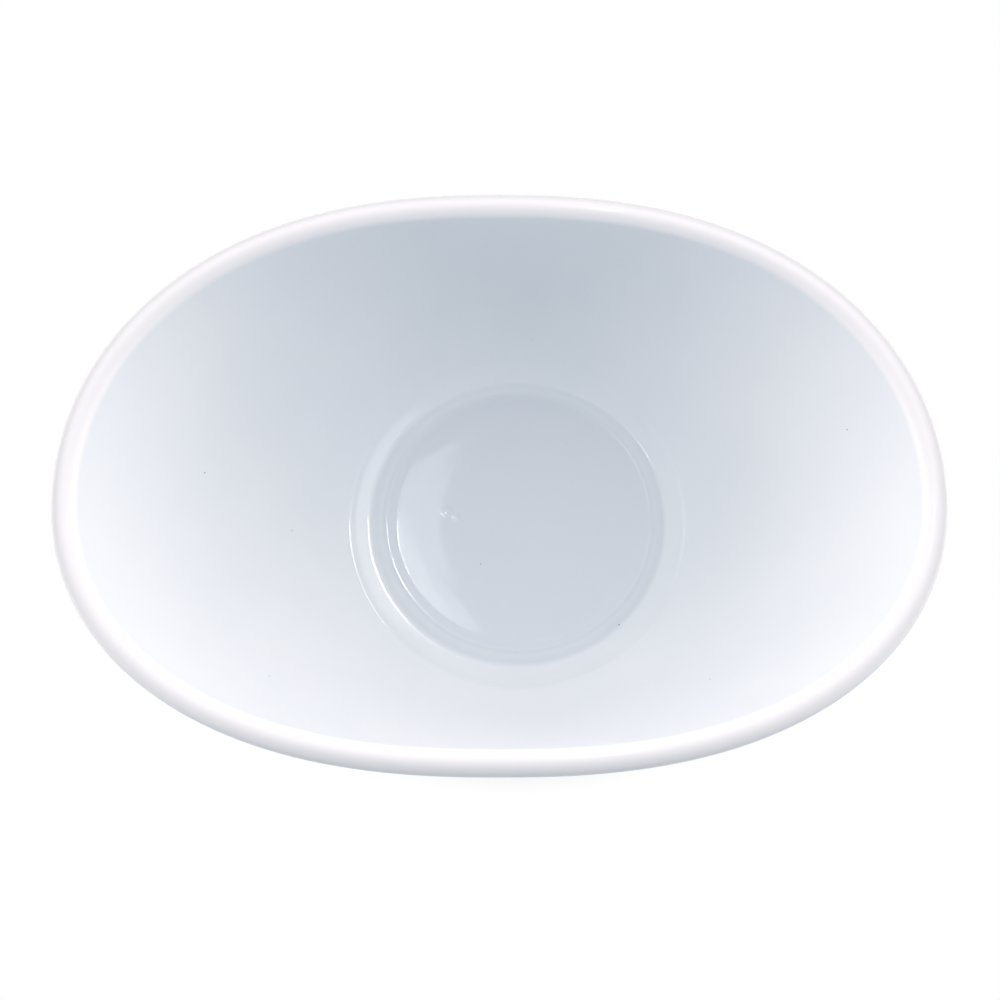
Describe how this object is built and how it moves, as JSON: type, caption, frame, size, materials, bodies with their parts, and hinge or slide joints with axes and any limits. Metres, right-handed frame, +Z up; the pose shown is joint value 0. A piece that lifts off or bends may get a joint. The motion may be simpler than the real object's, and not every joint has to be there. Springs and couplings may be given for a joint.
{
  "type": "bedpan",
  "caption": "Shallow oval bedpan of white vitreous-enamelled sheet steel, with a hollow rolled rim, flared walls and a round stepped base that stands on a flat ring.",
  "frame": {"origin": "on the standing plane, under the middle of the overall length and width", "axes": "+X along the length, +Y towards the flatter back half of the rim's plan, +Z up out of the bowl"},
  "size_m": [0.36, 0.2422, 0.068],
  "materials": {
    "sheet_steel": "drawn and pickled sheet",
    "ground_enamel": "dark fired ground coat",
    "white_enamel_inside": "glossy fired enamel",
    "white_enamel_outside": "glossy fired enamel"
  },
  "bodies": {
    "root": {"steel_shell": "sheet_steel", "ground_coat_inside": "ground_enamel", "cover_coat_inside": "white_enamel_inside", "ground_coat_outside": "ground_enamel", "cover_coat_outside": "white_enamel_outside"}
  },
  "joints": []
}
